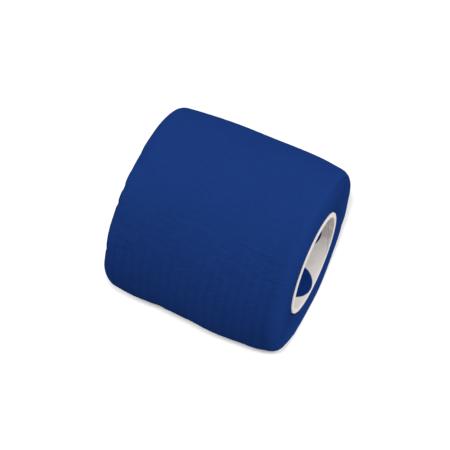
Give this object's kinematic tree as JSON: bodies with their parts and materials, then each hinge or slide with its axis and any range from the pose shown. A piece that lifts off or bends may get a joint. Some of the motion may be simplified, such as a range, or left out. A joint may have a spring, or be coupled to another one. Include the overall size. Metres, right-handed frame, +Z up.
{
  "type": "cohesive bandage roll",
  "caption": "Cohesive elastic bandage wound into a short roll on an open paper core, for wrapping a dressing, a joint or a limb.",
  "frame": {"origin": "centre of the underside, on the surface that the roll lies on", "axes": "+X along the roll's axis, +Z up, so -Z points out of the flat spot that it rests on"},
  "size_m": [0.0508, 0.0545, 0.0542],
  "materials": {
    "bandage": "navy blue creped nonwoven with fine elastic threads round the roll, matt",
    "core": "off-white wound paperboard, matt, with plain dark blue dots printed inside"
  },
  "bodies": {
    "root": {"bandage": "bandage", "core": "core"}
  },
  "joints": []
}
